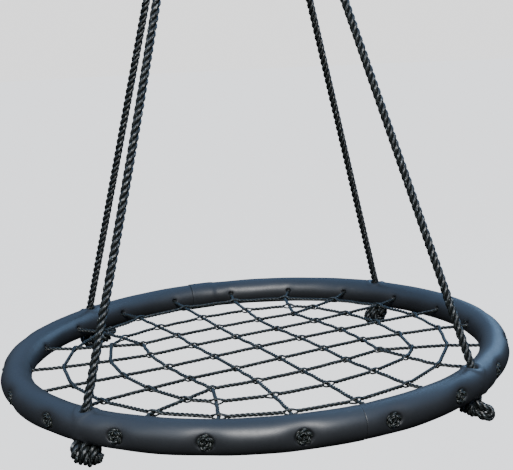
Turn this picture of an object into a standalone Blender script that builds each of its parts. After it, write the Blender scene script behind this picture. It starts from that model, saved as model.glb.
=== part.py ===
"""A saucer nest swing: a foam covered steel hoop with a laced rope net, slung from one steel ring.

Two doubled ropes carry the hoop. Each is bent over a thimble on the hanging ring, is clamped by a
ferrule, and runs down as two legs through the hoop to a stopper knot. The hanging ring swings sideways
on a shackle's pin, the shackle swings to and fro on a swivel's lower eye, and the swivel turns on its
stem. The origin is the bearing point inside the swivel's upper eye, with +Z up.
"""

import math

import bmesh
import bpy
from mathutils import Matrix, Vector

# ---------------------------------------------------------------- driving dimensions (metres)
CLEARANCE = 0.0003           # gap left where two pieces touch
BAR_GAP = 0.0005             # gap between a hanging link and the bar that it hangs on

HOOP_HEIGHT = -1.480         # height of the hoop's plane
HOOP_RADIUS = 0.4716         # centre line of the hoop's tube
HOOP_STEPS = 48              # straight stretches round the whole hoop
COVER_RADIUS = 0.0284        # outside of the foam cover's section
COVER_BORE = 0.0166
COVER_SIDES = 12
SEAM_ANGLE = math.radians(102)
SEAM_GAP = math.radians(0.06)
STEEL_RADIUS = 0.0159
STEEL_WALL = 0.002
STEEL_SIDES = 8

LACING_COUNT = 20
LACING_HOLE_RADIUS = 0.0048
CORD_RADIUS = 0.0035         # the net's cord
CORD_OFFSET = 0.0037         # half the distance between crossing cords' centre lines
NET_TURN = math.radians(19.5)
ROW_STEP = 0.0985            # cell length along a row
COLUMN_STEP = 0.0930         # cell length along a column
GRID_REACH = 2               # cords on each side of the middle one
CORNER_PULL = 0.005          # how far the grid's corners are drawn in
BORDER_RADIUS = 0.382
INNER_SHARE = 0.48           # where the inner ring cord crosses, from the grid to the border
CORD_STUB = 0.0005           # of plain cord between its knot and the hole, and past the hoop's inner face
KNOT_RADIUS = 0.0140         # end knots, sunk in seats in the hoop's outer face
KNOT_DEPTH = 0.011
KNOT_PROFILE = ((1.0, 0.35), (0.75, 0.8), (0.4, 1.0), (0.11, 0.7))   # shares of its depth, its radius
KNOT_SEAT = (0.0152, 0.009)  # radius, depth
DRILL_LENGTH = 0.080         # of a hole's cutter, through the whole section
SEAT_CUTTER_LENGTH = 0.020

ROPE_RADIUS = 0.0080
ROPE_HOLE_RADIUS = 0.0089
ROPE_HOLE_OUTSET = (0.0005, 0.0060)   # outside the hoop's centre line, at its top and at mid-height
STOPPER_SIZE = (0.036, 0.020, 0.020)   # along the hoop, across it, down: half of each
LEG_SPACING = 0.0084         # from a ferrule's middle to each leg
LEG_SPREAD = (0.0160, 0.0092)   # below the ferrule and aside, where a leg turns straight for the hoop
LEG_STEP = 0.110             # between the points of a leg's straight run

EYE_BAR = 0.0055             # upper eye
EYE_RADIUS = 0.016
STEM_RADIUS = 0.006
STEM_END = -0.0665
COLLAR = (0.0105, -0.0365, -0.0300)    # radius, bottom, top
BOSS = (0.0120, -0.0550, -0.0370)      # radius, bottom, top
STEM_BORE = 0.0064
STEM_BORE_LENGTH = 0.040
STEM_BORE_RISE = 0.006       # of the bore's middle above the boss's
CHAMFER = 0.001
WASHER = (0.0105, 0.0020)              # radius, thickness
NUT = (0.0100, 0.0070)                 # corner radius, thickness
NUT_BORE_LENGTH = 0.020
LINK_BAR = 0.005             # lower eye and shackle bow
LOWER_EYE_RADIUS = 0.021
LOWER_EYE_CENTRE = -0.066

BOW_HALF_WIDTH = 0.016
PIN_DROP = 0.046             # from the bow's inner top to the pin's axis
PIN_RADIUS = 0.0055
PIN_HEAD = (0.0100, 0.0065)
EAR = (0.011, 0.010)         # radius, thickness
EAR_BORE = 0.0059
EAR_BORE_LENGTH = 0.060
BOW_OVERLAP = 0.004          # how far the bow's legs stop above the pin's axis, inside its ears
PIN_STICKOUT = 0.002         # of the pin past its nut

RING_BAR = 0.006
RING_RADIUS = 0.038
THIMBLE_OFFSET = 0.015       # each side of the ring's lowest point
THIMBLE_PROFILE = [          # (radius, distance along its axis), down the outer groove and up the bore
    (0.0170, 0.0088), (0.0176, 0.0080), (0.0138, 0.0040), (0.0127, 0.0000), (0.0138, -0.0040),
    (0.0176, -0.0080), (0.0170, -0.0088), (0.0122, -0.0050), (0.0100, 0.0000), (0.0122, 0.0050),
]
THIMBLE_BORE = 0.0100
BIGHT_RADIUS = 0.0214        # rope's centre line round a thimble
BIGHT_ANGLE = math.radians(102)
THROAT = ((0.0158, -0.0200), (0.0105, -0.0340))   # where the legs close: across, along the rope
FERRULE_TOP = -0.046         # measured along the rope from the thimble's centre
FERRULE_LENGTH = 0.036
FERRULE_WALL = 0.003
FERRULE_PLAY = 0.0001        # past the clearance, round each leg

# ---------------------------------------------------------------- places worked out from them
FORE_AFT_HEIGHT = LOWER_EYE_CENTRE - LOWER_EYE_RADIUS
BOW_TOP = FORE_AFT_HEIGHT + 2 * LINK_BAR + BAR_GAP
PIN_HEIGHT = BOW_TOP - LINK_BAR - PIN_DROP
RING_CENTRE = PIN_HEIGHT + PIN_RADIUS + BAR_GAP + RING_BAR - RING_RADIUS

PARTS = "saucer_nest_swing"
CUTTERS = "cutters"


# ---------------------------------------------------------------- scene and material helpers
def clear_scene():
    for item in list(bpy.data.objects):
        bpy.data.objects.remove(item, do_unlink=True)


def collection(name):
    found = bpy.data.collections.get(name)
    if found is None:
        found = bpy.data.collections.new(name)
        bpy.context.scene.collection.children.link(found)
    return found


def material(name, colour, roughness, metallic):
    """A plain surface: base colour, roughness and metallic value."""
    made = bpy.data.materials.new(name)
    made.use_nodes = True
    shader = made.node_tree.nodes["Principled BSDF"]
    shader.inputs["Base Color"].default_value = (*colour, 1.0)
    shader.inputs["Roughness"].default_value = roughness
    shader.inputs["Metallic"].default_value = metallic
    return made


def add(name, data, parent=None, place=(0, 0, 0), surface=None):
    """Put a mesh or a curve in the scene as a part, or as a cutter when it has no surface."""
    made = bpy.data.objects.new(name, data)
    made.location = place
    made.parent = parent
    if surface is None:
        collection(CUTTERS).objects.link(made)
        made.hide_render = True
        made.display_type = "WIRE"
    else:
        collection(PARTS).objects.link(made)
        data.materials.append(surface)
    return made


def joint_empty(name, height, parent=None):
    """An empty on a joint's axis, at a height above the origin."""
    made = bpy.data.objects.new(name, None)
    made.empty_display_size = 0.03
    made.parent = parent
    made.location.z = height - (parent_height(parent) if parent else 0)
    collection(PARTS).objects.link(made)
    return made


def parent_height(item):
    return item.location.z + (parent_height(item.parent) if item.parent else 0)


def combine(item, other, operation):
    step = item.modifiers.new(f"{operation.lower()}_{other.name}", "BOOLEAN")
    step.operation = operation
    step.solver = "EXACT"
    step.object = other


# ---------------------------------------------------------------- shape helpers
def turned(profile, closed):
    """A mesh holding a profile of (radius, height) points, for a Screw modifier."""
    mesh = bpy.data.meshes.new("profile")
    edges = [(i, i + 1) for i in range(len(profile) - 1)]
    if closed:
        edges.append((len(profile) - 1, 0))
    mesh.from_pydata([(r, 0, z) for r, z in profile], edges, [])
    return mesh


def turn(item, steps):
    step = item.modifiers.new("turn", "SCREW")
    step.axis = "Z"
    step.steps = step.render_steps = steps
    step.use_merge_vertices = True
    step.merge_threshold = 0.00001
    step.use_smooth_shade = True


def cylinder_mesh(radius, depth, sides=24, matrix=None):
    """A capped cylinder about its own Z axis, with scale already in its points."""
    mesh = bpy.data.meshes.new("cylinder")
    shape = bmesh.new()
    bmesh.ops.create_cone(shape, cap_ends=True, segments=sides, radius1=radius, radius2=radius,
                          depth=depth, matrix=matrix or Matrix())
    shape.to_mesh(mesh)
    shape.free()
    mesh.shade_smooth()
    mesh.set_sharp_from_angle(angle=math.radians(40))
    return mesh


def torus_mesh(radius, bar, steps, sides):
    bpy.ops.mesh.primitive_torus_add(major_radius=radius, minor_radius=bar,
                                     major_segments=steps, minor_segments=sides)
    made = bpy.context.object
    mesh = made.data
    bpy.data.objects.remove(made)
    mesh.shade_smooth()
    return mesh


def tube_curve(points, radius, closed=False, resolution=2, swell=None):
    """A round tube along the points. swell gives a radius factor for each point."""
    curve = bpy.data.curves.new("tube", "CURVE")
    curve.dimensions = "3D"
    curve.bevel_depth = radius
    curve.bevel_resolution = resolution
    curve.use_fill_caps = True
    line = curve.splines.new("POLY")
    line.points.add(len(points) - 1)
    for spot, place in zip(line.points, points):
        spot.co = (*place, 1.0)
    for spot, factor in zip(line.points, swell or []):
        spot.radius = factor
    line.use_cyclic_u = closed
    return curve


def curve_as_mesh(item):
    """The curve object's tube as a welded mesh in its own place; the curve is removed."""
    bpy.context.view_layer.update()
    evaluated = item.evaluated_get(bpy.context.evaluated_depsgraph_get())
    mesh = bpy.data.meshes.new_from_object(evaluated)
    shape = bmesh.new()
    shape.from_mesh(mesh)
    bmesh.ops.remove_doubles(shape, verts=shape.verts, dist=0.00001)
    shape.to_mesh(mesh)
    shape.free()
    mesh.transform(item.matrix_world)
    bpy.data.objects.remove(item)
    return mesh


def joined_cylinders(rods, sides):
    """One mesh of separate capped rods, each (centre, direction, radius, length)."""
    mesh = bpy.data.meshes.new("rods")
    shape = bmesh.new()
    for centre, direction, radius, length in rods:
        facing = Vector(direction).to_track_quat("Z", "Y").to_matrix().to_4x4()
        bmesh.ops.create_cone(shape, cap_ends=True, segments=sides, radius1=radius, radius2=radius,
                              depth=length, matrix=Matrix.Translation(centre) @ facing)
    shape.to_mesh(mesh)
    shape.free()
    return mesh


def smooth_route(knots, per_span):
    """Points on a Catmull-Rom curve through the knots, per_span of them in each span."""
    padded = [2 * knots[0] - knots[1], *knots, 2 * knots[-1] - knots[-2]]
    route = []
    for before, start, end, after in zip(padded, padded[1:], padded[2:], padded[3:]):
        for i in range(per_span):
            t = i / per_span
            route.append(0.5 * (2 * start + (end - before) * t
                                + (2 * before - 5 * start + 4 * end - after) * t ** 2
                                + (3 * start - before - 3 * end + after) * t ** 3))
    route.append(knots[-1])
    return route


def round_point(radius, angle, height=0.0):
    return Vector((radius * math.cos(angle), radius * math.sin(angle), height))


# ---------------------------------------------------------------- the suspension ropes' routes
def thimble_centre(side):
    """Centre of the left (-1) or right (+1) thimble, with the directions along and across its rope."""
    lean = math.asin(THIMBLE_OFFSET / RING_RADIUS)
    bar = Vector((side * THIMBLE_OFFSET, 0, RING_CENTRE - RING_RADIUS * math.cos(lean)))
    landing = Vector((side * HOOP_RADIUS * math.sqrt(0.5), 0, HOOP_HEIGHT))
    upward = (bar - landing).normalized()
    return bar - upward * (THIMBLE_BORE - RING_BAR - BAR_GAP), upward


def leg_line(side, end):
    """Where a leg leaves its ferrule, where it enters the hoop's top, and its hole at mid-height."""
    centre, upward = thimble_centre(side)
    below, aside = LEG_SPREAD
    leaving = centre + upward * (FERRULE_TOP - FERRULE_LENGTH - below) + Vector((0, end * aside, 0))
    corner = Vector((side, end, 0)) * math.sqrt(0.5)
    at_top, at_middle = ROPE_HOLE_OUTSET
    entry = corner * (HOOP_RADIUS + at_top) + Vector((0, 0, HOOP_HEIGHT + COVER_RADIUS))
    crossing = corner * (HOOP_RADIUS + at_middle) + Vector((0, 0, HOOP_HEIGHT))
    return leaving, entry, crossing


def rope_route(side):
    """One rope from its front stopper knot over the thimble to its back stopper knot."""
    centre, upward = thimble_centre(side)

    def spot(across, along):
        return centre + upward * along + Vector((0, across, 0))

    angles = [BIGHT_ANGLE * i / 6 for i in range(7)]
    half = [spot(BIGHT_RADIUS * math.sin(a), BIGHT_RADIUS * math.cos(a)) for a in angles]
    ferrule_end = FERRULE_TOP - FERRULE_LENGTH
    leaving, entry, crossing = leg_line(side, 1)
    down = (entry - leaving).normalized()
    last = crossing + (crossing - entry).normalized() * (COVER_RADIUS + CLEARANCE / 2)
    half += smooth_route([half[-1], *[spot(*place) for place in THROAT],
                          spot(LEG_SPACING, FERRULE_TOP), spot(LEG_SPACING, ferrule_end),
                          leaving, leaving + down * LEG_STEP], 2)[1:]
    steps = round((entry - half[-1]).length / LEG_STEP)
    half += [half[-1].lerp(entry, i / steps) for i in range(1, steps + 1)]
    half.append(last)
    mirrored = [Vector((p.x, -p.y, p.z)) for p in half[:0:-1]]
    return mirrored + half


# ---------------------------------------------------------------- swivel and shackle
def build_swivel(spin_axis, steel):
    """The upper eye with its stem, the nut and washer that hold it, and the lower eye that turns on it."""
    eye = add("swivel_upper_eye", torus_mesh(EYE_RADIUS, EYE_BAR, 32, 10), surface=steel)
    eye.location.z = EYE_BAR - EYE_RADIUS
    eye.rotation_euler.x = math.pi / 2
    radius, bottom, top = COLLAR
    stem_top = 2 * (EYE_BAR - EYE_RADIUS) - EYE_BAR
    stem = turned([(0, stem_top), (STEM_RADIUS, stem_top), (radius, top), (radius, bottom),
                   (STEM_RADIUS, bottom), (STEM_RADIUS, STEM_END + CHAMFER),
                   (STEM_RADIUS - CHAMFER, STEM_END), (0, STEM_END)], False)
    stem = add("stem", stem)
    turn(stem, 24)
    combine(eye, stem, "UNION")

    radius, bottom, top = BOSS
    lower = add("swivel_lower_eye", torus_mesh(LOWER_EYE_RADIUS, LINK_BAR, 36, 10), spin_axis,
                surface=steel)
    lower.location.z = LOWER_EYE_CENTRE - parent_height(spin_axis)
    lower.rotation_euler.x = math.pi / 2
    middle = (top + bottom) / 2
    boss = add("boss", cylinder_mesh(radius, top - bottom), place=(0, 0, middle))
    bore = add("stem_bore", cylinder_mesh(STEM_BORE, STEM_BORE_LENGTH),
               place=(0, 0, middle + STEM_BORE_RISE))
    combine(lower, boss, "UNION")
    combine(lower, bore, "DIFFERENCE")

    radius, thickness = WASHER
    washer_top = bottom - CLEARANCE
    washer = add("swivel_washer", turned([(radius, thickness), (radius, 0), (STEM_BORE, 0),
                                          (STEM_BORE, thickness)], True),
                 place=(0, 0, washer_top - thickness), surface=steel)
    turn(washer, 24)
    nut_top = washer_top - thickness - CLEARANCE
    nut = add("swivel_nut", cylinder_mesh(NUT[0], NUT[1], 6), place=(0, 0, nut_top - NUT[1] / 2),
              surface=steel)
    combine(nut, add("swivel_nut_bore", cylinder_mesh(STEM_BORE, NUT_BORE_LENGTH, 20),
                     place=nut.location), "DIFFERENCE")


def build_shackle(fore_aft_axis, steel):
    """A bow with an ear at each end, and the bolt and nut that close it."""
    centre = BOW_TOP - BOW_HALF_WIDTH
    arc = [(BOW_HALF_WIDTH * math.cos(a), centre + BOW_HALF_WIDTH * math.sin(a))
           for a in (math.pi * i / 12 for i in range(13))]
    foot = PIN_HEIGHT + BOW_OVERLAP
    outline = [(BOW_HALF_WIDTH, foot), *arc, (-BOW_HALF_WIDTH, foot)]
    bow_curve = add("bow_curve", tube_curve([(0, y, z) for y, z in outline], LINK_BAR, resolution=3))
    bow = add("shackle_bow", curve_as_mesh(bow_curve), fore_aft_axis, surface=steel)
    bow.location.z = -parent_height(fore_aft_axis)
    radius, thickness = EAR
    along = Matrix.Rotation(math.pi / 2, 4, "X")
    for side, name in ((-1, "front"), (1, "back")):
        ear = add(f"ear_{name}", cylinder_mesh(radius, thickness, 20, along),
                  place=(0, side * BOW_HALF_WIDTH, PIN_HEIGHT))
        combine(bow, ear, "UNION")
    combine(bow, add("ear_bore", cylinder_mesh(EAR_BORE, EAR_BORE_LENGTH, 20, along),
                     place=(0, 0, PIN_HEIGHT)), "DIFFERENCE")

    outer = BOW_HALF_WIDTH + thickness / 2 + CLEARANCE
    head_radius, head_thickness = PIN_HEAD
    reach = outer + NUT[1] + PIN_STICKOUT
    head_top = outer + head_thickness
    pin = turned([(0, head_top), (head_radius - CHAMFER, head_top), (head_radius, head_top - CHAMFER),
                  (head_radius, outer), (PIN_RADIUS, outer), (PIN_RADIUS, CHAMFER - reach),
                  (PIN_RADIUS - CHAMFER, -reach), (0, -reach)], False)
    pin = add("shackle_pin", pin, fore_aft_axis, surface=steel)
    pin.location.z = PIN_HEIGHT - parent_height(fore_aft_axis)
    pin.rotation_euler.x = math.pi / 2
    turn(pin, 20)
    nut = add("shackle_nut", cylinder_mesh(NUT[0], NUT[1], 6, along), fore_aft_axis, surface=steel)
    nut.location = (0, outer + NUT[1] / 2, PIN_HEIGHT - parent_height(fore_aft_axis))
    combine(nut, add("shackle_nut_bore", cylinder_mesh(EAR_BORE, NUT_BORE_LENGTH, 20, along),
                     place=(0, outer + NUT[1] / 2, PIN_HEIGHT)), "DIFFERENCE")


# ---------------------------------------------------------------- hanging ring, thimbles, ropes
def ferrule_curve():
    """A sleeve of two flat sides and two round ones, about its own Z axis, round two legs side by side."""
    curve = bpy.data.curves.new("ferrule", "CURVE")
    curve.dimensions = "2D"
    curve.fill_mode = "BOTH"
    curve.extrude = FERRULE_LENGTH / 2
    bore = ROPE_RADIUS + CLEARANCE + FERRULE_PLAY
    for radius in (bore + FERRULE_WALL, bore):
        line = curve.splines.new("POLY")
        outline = []
        for end in (1, -1):
            for i in range(11):
                angle = math.pi * (i / 10 - 0.5)
                outline.append((end * (LEG_SPACING + radius * math.cos(angle)),
                                end * radius * math.sin(angle)))
        line.points.add(len(outline) - 1)
        for spot, (x, y) in zip(line.points, outline):
            spot.co = (x, y, 0, 1)
        line.use_cyclic_u = True
    return curve


def build_suspension(side_axis, steel, alloy, rope_look):
    """The hanging ring and, on each side of it, a thimble, a doubled rope and its ferrule."""
    ring = add("hanging_ring", torus_mesh(RING_RADIUS, RING_BAR, 40, 10), side_axis, surface=steel)
    ring.location.z = RING_CENTRE - parent_height(side_axis)
    ring.rotation_euler.x = math.pi / 2
    offset = Vector((0, 0, parent_height(side_axis)))
    for side, name in ((-1, "left"), (1, "right")):
        centre, upward = thimble_centre(side)
        axis = Vector((0, 1, 0)).cross(upward)
        thimble = add(f"thimble_{name}", turned(THIMBLE_PROFILE, True), side_axis,
                      place=centre - offset, surface=steel)
        thimble.rotation_euler = axis.to_track_quat("Z", "Y").to_euler()
        turn(thimble, 24)

        ferrule = add(f"ferrule_{name}", ferrule_curve(), side_axis, surface=alloy)
        ferrule.location = centre + upward * (FERRULE_TOP - FERRULE_LENGTH / 2) - offset
        ferrule.rotation_euler = Matrix(((0, 1, 0), -axis, upward)).transposed().to_euler()

        points = [place - offset for place in rope_route(side)]
        add(f"hanging_rope_{name}", tube_curve(points, ROPE_RADIUS), side_axis, surface=rope_look)


def build_stopper_knots(hoop_centre, rope_look):
    """A rounded knot under the hoop at the end of each rope leg, lying along the hoop."""
    for side, side_name in ((-1, "left"), (1, "right")):
        for end, end_name in ((-1, "front"), (1, "back")):
            _, entry, crossing = leg_line(side, end)
            down = (crossing - entry).normalized()
            along = Vector((-end, side, 0)).normalized()
            inward = down.cross(along).normalized()
            facing = Matrix((down.cross(inward), inward, down)).transposed().to_4x4()
            mesh = bpy.data.meshes.new("knot")
            shape = bmesh.new()
            bmesh.ops.create_uvsphere(shape, u_segments=12, v_segments=8, radius=1,
                                      matrix=facing @ Matrix.Diagonal((*STOPPER_SIZE, 1)))
            bmesh.ops.recalc_face_normals(shape, faces=shape.faces)
            shape.to_mesh(mesh)
            shape.free()
            mesh.shade_smooth()
            centre = crossing + down * (COVER_RADIUS + CLEARANCE + STOPPER_SIZE[2])
            add(f"stopper_knot_{end_name}_{side_name}", mesh, hoop_centre,
                place=centre - Vector((0, 0, HOOP_HEIGHT)), surface=rope_look)


# ---------------------------------------------------------------- hoop
def knot_seats():
    """A shallow round seat for each end knot, in the cover's outer face."""
    radius, depth = KNOT_SEAT
    middle = HOOP_RADIUS + COVER_RADIUS - depth + SEAT_CUTTER_LENGTH / 2
    ways = [round_point(1, math.tau * i / LACING_COUNT) for i in range(LACING_COUNT)]
    return joined_cylinders([(way * middle, way, radius, SEAT_CUTTER_LENGTH) for way in ways], 10)


def hoop_drills():
    """Radial lacing holes and slanted rope holes, through the whole section of the hoop."""
    rods = []
    for i in range(LACING_COUNT):
        outward = round_point(1, math.tau * i / LACING_COUNT)
        rods.append((outward * HOOP_RADIUS, outward, LACING_HOLE_RADIUS, DRILL_LENGTH))
    for side in (-1, 1):
        for end in (-1, 1):
            _, entry, crossing = leg_line(side, end)
            rods.append((crossing - Vector((0, 0, HOOP_HEIGHT)), crossing - entry,
                         ROPE_HOLE_RADIUS, DRILL_LENGTH))
    return joined_cylinders(rods, 8)


def steel_section():
    """The circle of the steel tube's outside, as a ring of edges at the first seam."""
    mesh = bpy.data.meshes.new("section")
    points = []
    for i in range(STEEL_SIDES):
        angle = -math.tau * i / STEEL_SIDES
        points.append(round_point(HOOP_RADIUS + STEEL_RADIUS * math.cos(angle), SEAM_ANGLE,
                                  STEEL_RADIUS * math.sin(angle)))
    mesh.from_pydata(points, [(i, (i + 1) % STEEL_SIDES) for i in range(STEEL_SIDES)], [])
    return mesh


def half_cover_mesh(start):
    """A ring-shaped section swept half-way round the hoop from the start angle, less the seam's gap."""
    mesh = bpy.data.meshes.new("half_cover")
    shape = bmesh.new()
    place = (Matrix.Rotation(start + SEAM_GAP / 2, 4, "Z") @ Matrix.Translation((HOOP_RADIUS, 0, 0))
             @ Matrix.Rotation(math.pi / 2, 4, "X"))
    for radius in (COVER_RADIUS, COVER_BORE):
        bmesh.ops.create_circle(shape, segments=COVER_SIDES, radius=radius, matrix=place)
    bmesh.ops.bridge_loops(shape, edges=shape.edges)
    geometry = [*shape.verts, *shape.edges, *shape.faces]
    bmesh.ops.spin(shape, geom=geometry, axis=(0, 0, 1), angle=math.pi - SEAM_GAP,
                   steps=HOOP_STEPS // 2)
    bmesh.ops.recalc_face_normals(shape, faces=shape.faces)
    shape.to_mesh(mesh)
    shape.free()
    mesh.shade_smooth()
    mesh.set_sharp_from_angle(angle=math.radians(40))
    return mesh


def build_hoop(hoop_centre, steel, foam):
    """The steel tube bent into a ring, and the two half covers of foam that meet at the seams."""
    drills = add("hoop_drills", hoop_drills(), place=(0, 0, HOOP_HEIGHT))
    seats = add("knot_seats", knot_seats(), place=(0, 0, HOOP_HEIGHT))
    tube = add("hoop_tube", steel_section(), hoop_centre, surface=steel)
    turn(tube, HOOP_STEPS)
    wall = tube.modifiers.new("wall", "SOLIDIFY")
    wall.thickness = STEEL_WALL
    wall.offset = -1
    combine(tube, drills, "DIFFERENCE")
    for name, start in (("left", SEAM_ANGLE), ("right", SEAM_ANGLE + math.pi)):
        cover = add(f"hoop_cover_{name}", half_cover_mesh(start), hoop_centre, surface=foam)
        combine(cover, drills, "DIFFERENCE")
        combine(cover, seats, "DIFFERENCE")


# ---------------------------------------------------------------- net
def grid_point(i, j):
    """Crossing of column i and row j, with the corners drawn in a little."""
    pull = 1 - CORNER_PULL * (i * j) ** 2
    x, y = i * ROW_STEP * pull, j * COLUMN_STEP * pull
    return Vector((x * math.cos(NET_TURN) - y * math.sin(NET_TURN),
                   x * math.sin(NET_TURN) + y * math.cos(NET_TURN), 0))


def border_point(hole):
    return round_point(BORDER_RADIUS, math.tau * hole / LACING_COUNT)


def cord_ends():
    """For each cord end: its hole, whether it is a row, and its last grid crossing."""
    ends = []
    for k in range(-GRID_REACH, GRID_REACH + 1):
        ends.append(((k + 1) % LACING_COUNT, True, (GRID_REACH, k)))
        ends.append((6 - k, False, (k, GRID_REACH)))
        ends.append((11 - k, True, (-GRID_REACH, k)))
        ends.append((16 + k, False, (k, -GRID_REACH)))
    return sorted(ends)


def inner_point(hole, crossing):
    start = grid_point(*crossing)
    return start + (border_point(hole) - start) * INNER_SHARE


def cord_end_route(hole, crossing, lift):
    """From the knot on the hoop's outer face in to the inner ring cord, with the tube's swelling."""
    angle = math.tau * hole / LACING_COUNT
    outer = HOOP_RADIUS + COVER_RADIUS - KNOT_SEAT[1] + CLEARANCE
    full = KNOT_RADIUS / CORD_RADIUS
    points = [round_point(outer + KNOT_DEPTH * height, angle) for height, _ in KNOT_PROFILE]
    swell = [full * share for _, share in KNOT_PROFILE]
    points += [round_point(outer + CORD_STUB, angle),
               round_point(HOOP_RADIUS - COVER_RADIUS - CORD_STUB, angle)]
    raised = Vector((0, 0, lift))
    points += [border_point(hole) + raised, inner_point(hole, crossing) + raised]
    return points, swell + [1.0] * (len(points) - len(swell))


def build_net(hoop_centre, cord_look):
    """Rows over columns, an inner ring cord, and a border cord; each cord's ends are laced and knotted."""
    ends = {(row, crossing): hole for hole, row, crossing in cord_ends()}
    for row, title, height in ((True, "row", CORD_OFFSET), (False, "column", -CORD_OFFSET)):
        for k in range(-GRID_REACH, GRID_REACH + 1):
            line = [(m, k) if row else (k, m) for m in range(-GRID_REACH, GRID_REACH + 1)]
            first, first_swell = cord_end_route(ends[row, line[0]], line[0], height)
            last, last_swell = cord_end_route(ends[row, line[-1]], line[-1], height)
            middle = [grid_point(*crossing) + Vector((0, 0, height)) for crossing in line]
            points = first + middle + last[::-1]
            swell = first_swell + [1.0] * len(middle) + last_swell[::-1]
            add(f"net_{title}_{k + GRID_REACH + 1}",
                tube_curve(points, CORD_RADIUS, resolution=1, swell=swell), hoop_centre,
                surface=cord_look)
    rings = {"net_inner_ring": [], "net_border": []}
    for hole, row, crossing in cord_ends():
        lift = Vector((0, 0, -CORD_OFFSET if row else CORD_OFFSET))
        rings["net_inner_ring"].append(inner_point(hole, crossing) + lift)
        rings["net_border"].append(border_point(hole) + lift)
    for name, points in rings.items():
        add(name, tube_curve(points, CORD_RADIUS, True, resolution=1), hoop_centre, surface=cord_look)


def build():
    clear_scene()
    steel = material("galvanised_steel", (0.55, 0.56, 0.57), 0.35, 1.0)
    alloy = material("ferrule_alloy", (0.62, 0.62, 0.63), 0.45, 1.0)
    foam = material("foam_cover", (0.035, 0.040, 0.050), 0.42, 0.0)
    rope_look = material("hanging_rope", (0.030, 0.033, 0.035), 0.75, 0.0)
    cord_look = material("net_cord", (0.022, 0.026, 0.027), 0.80, 0.0)
    spin_axis = joint_empty("spin_axis", (BOSS[1] + BOSS[2]) / 2)
    fore_aft_axis = joint_empty("fore_aft_axis", FORE_AFT_HEIGHT, spin_axis)
    side_axis = joint_empty("side_axis", PIN_HEIGHT, fore_aft_axis)
    hoop_centre = joint_empty("hoop_centre", HOOP_HEIGHT, side_axis)
    build_swivel(spin_axis, steel)
    build_shackle(fore_aft_axis, steel)
    build_suspension(side_axis, steel, alloy, rope_look)
    build_stopper_knots(hoop_centre, rope_look)
    build_hoop(hoop_centre, steel, foam)
    build_net(hoop_centre, cord_look)


build()
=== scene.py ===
"""Looks of the saucer nest swing: foam covered hoop, laced rope net, hanging ropes and steel fittings."""

import math

import bpy
import numpy as np
from mathutils import Euler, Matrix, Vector


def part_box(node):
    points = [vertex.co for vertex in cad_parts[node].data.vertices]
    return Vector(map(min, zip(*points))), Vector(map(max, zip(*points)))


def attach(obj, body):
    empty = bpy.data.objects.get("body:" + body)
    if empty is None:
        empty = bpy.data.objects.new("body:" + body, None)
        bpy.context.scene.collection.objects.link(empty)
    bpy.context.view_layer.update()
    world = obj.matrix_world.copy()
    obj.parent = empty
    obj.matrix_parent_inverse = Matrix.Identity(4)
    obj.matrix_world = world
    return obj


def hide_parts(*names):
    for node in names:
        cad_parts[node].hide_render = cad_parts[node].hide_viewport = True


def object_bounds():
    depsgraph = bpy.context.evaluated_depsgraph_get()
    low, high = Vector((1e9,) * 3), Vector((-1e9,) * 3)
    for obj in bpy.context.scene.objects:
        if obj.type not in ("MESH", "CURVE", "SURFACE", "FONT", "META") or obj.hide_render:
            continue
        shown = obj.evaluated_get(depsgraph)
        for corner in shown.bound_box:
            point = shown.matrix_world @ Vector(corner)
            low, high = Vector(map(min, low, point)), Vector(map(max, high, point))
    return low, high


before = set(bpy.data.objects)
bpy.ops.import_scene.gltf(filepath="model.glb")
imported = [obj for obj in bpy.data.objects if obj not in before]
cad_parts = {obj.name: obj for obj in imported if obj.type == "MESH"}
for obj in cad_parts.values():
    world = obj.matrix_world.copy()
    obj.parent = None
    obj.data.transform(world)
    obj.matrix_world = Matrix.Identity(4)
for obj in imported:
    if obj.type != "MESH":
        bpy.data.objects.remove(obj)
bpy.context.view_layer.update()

# ---------------------------------------------------------------- sizes repeated from the CAD (metres)
HOOP_RADIUS = 0.4716          # centre line of the hoop
COVER_RADIUS = 0.0284         # the foam's section
COVER_BORE = 0.0166
SEAM_ANGLE = math.radians(102)
SEAM_GAP = math.radians(0.06)
LACING_COUNT = 20
LACING_STEP = math.tau / LACING_COUNT

CORD_RADIUS = 0.0037          # the net's cord, out to the crowns of its strands
NET_TURN = math.radians(19.5)
ROW_STEP = 0.0985
COLUMN_STEP = 0.0930
GRID_REACH = 2
CORNER_PULL = 0.005
BORDER_RADIUS = 0.382
INNER_SHARE = 0.48

ROPE_RADIUS = 0.0082          # out to the crowns of its strands
ROPE_HOLE_OUTSET = (0.0005, 0.0060)   # outside the hoop's centre line, at its top and at mid-height
LEG_SPACING = 0.0084
BIGHT_RADIUS = 0.0214
FERRULE_TOP = -0.046
FERRULE_LENGTH = 0.036
LEG_SPREAD = (0.016, 0.0092)  # below the ferrule and to the side, where a leg turns straight for the hoop

# ---------------------------------------------------------------- sizes of the finer detail
ROPE_STEP = 0.003             # between rings of points along a rope, and along a cord
CORD_STEP = 0.0020
ROPE_SKIN = {"sides": 20, "ridges": 5, "ridge_depth": 0.055}
CORD_SKIN = {"sides": 10, "ridges": 4, "ridge_depth": 0.05}
DOME = 0.45                   # how far a strand's end bulges, as a share of its radius
ROPE_LAY = 0.042
CORD_LAY = 0.027
STRAND_SHARE = 0.465          # a strand's radius in a three-strand rope of radius 1
YARN_LAY = 0.55               # a yarn's turn in a strand, as a share of the rope's lay
GRID_OPENINGS = (0.0080, 0.0115)      # from a crossing to where the parted strands close again
RING_OPENING = 0.0155
TIGHTENED = 0.85              # how much of its twist a rope keeps back where its strands part
TIGHT_CORD_RADIUS = 0.0034    # of the cord where it is pulled tight in a rose knot
LEG_BOW = 0.007               # how far the front left leg hangs away from straight
LEG_SHARES = (0.06, 0.3, 0.5, 0.7, 0.97)     # places along a leg's straight run
LEG_PAST = 0.006              # of a leg past the underside of the hoop
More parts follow.
